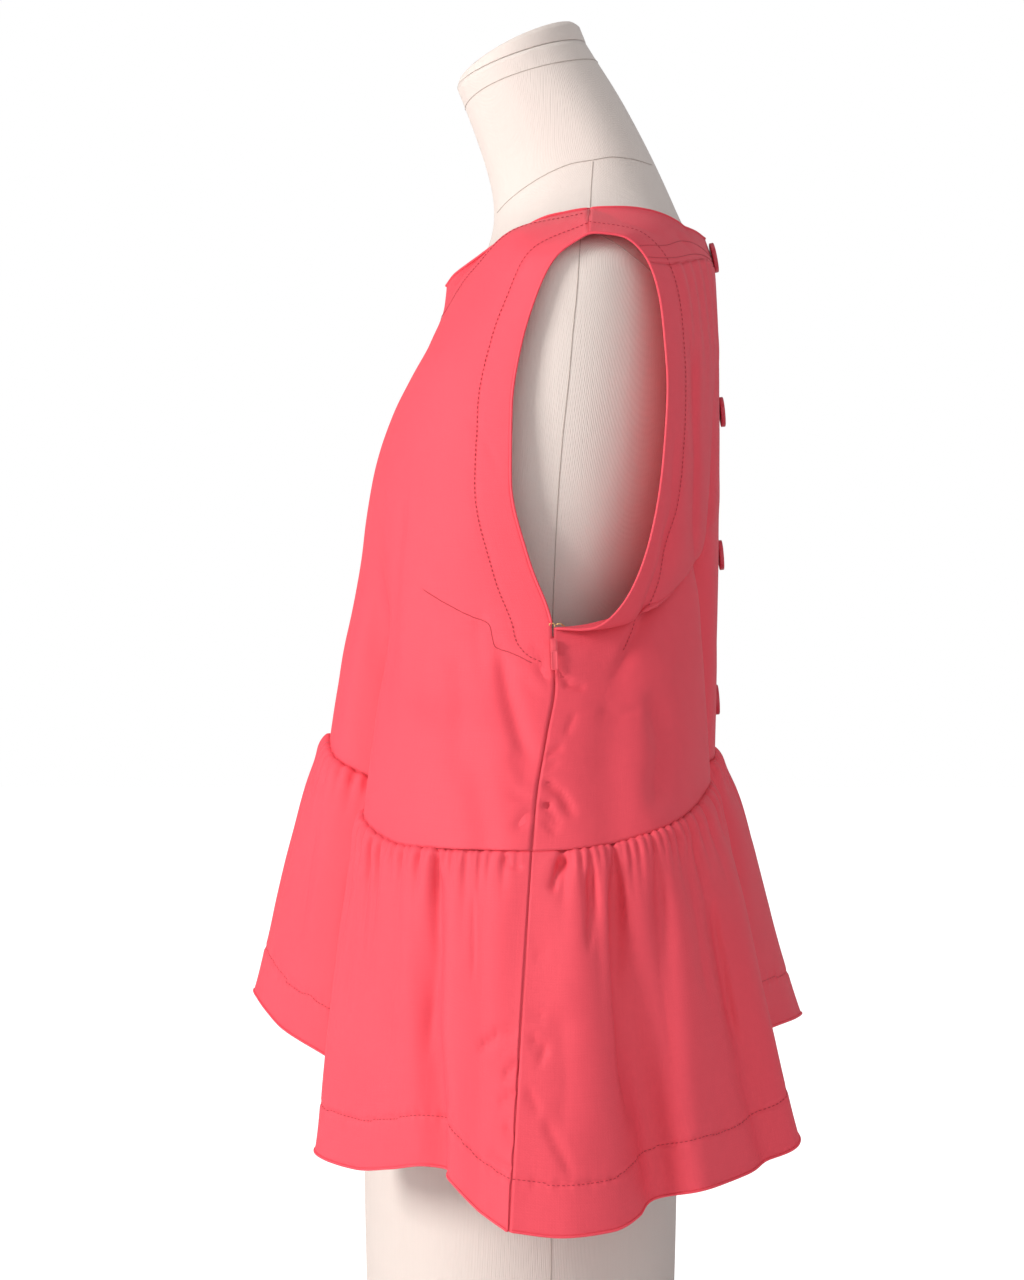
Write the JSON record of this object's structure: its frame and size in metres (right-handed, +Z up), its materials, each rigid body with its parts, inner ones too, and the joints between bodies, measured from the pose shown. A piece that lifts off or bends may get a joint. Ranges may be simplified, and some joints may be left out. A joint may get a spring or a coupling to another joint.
{
  "type": "peplum top on a limbless dress form",
  "caption": "Sleeveless flared top with a gathered peplum, back yoke, back buttons and a side zip, worn by a headless, armless dress form.",
  "frame": {"origin": "middle of the dress form's level base", "axes": "+Z up, -Y the way the top faces, +X the wearer's left"},
  "size_m": [0.546, 0.3805, 0.895],
  "materials": {
    "cloth": "coral cotton, smooth plain weave",
    "button": "dyed to match the cloth",
    "zip": "dyed to match the cloth",
    "form_cover": "pale stretched cover cloth"
  },
  "bodies": {
    "top_and_form": {"front_bodice": "cloth", "back_bodice_left": "cloth", "back_bodice_right": "cloth", "back_yoke_left": "cloth", "back_yoke_right": "cloth", "peplum_front": "cloth", "peplum_back": "cloth", "button_1": "button", "button_2": "button", "button_3": "button", "button_4": "button", "zip_tape": "zip", "zip_slider": "zip", "dress_form": "form_cover", "form_cap": "form_cover"},
    "pull": {"zip_pull": "zip"}
  },
  "joints": [
    {"name": "pull_swing", "type": "hinge", "parent": "top_and_form", "child": "pull", "pos_m": [0.18496, 0.02682, 0.45865], "axis": [0.0559, -0.9983, -0.0142], "range_deg": [0, 165]}
  ]
}
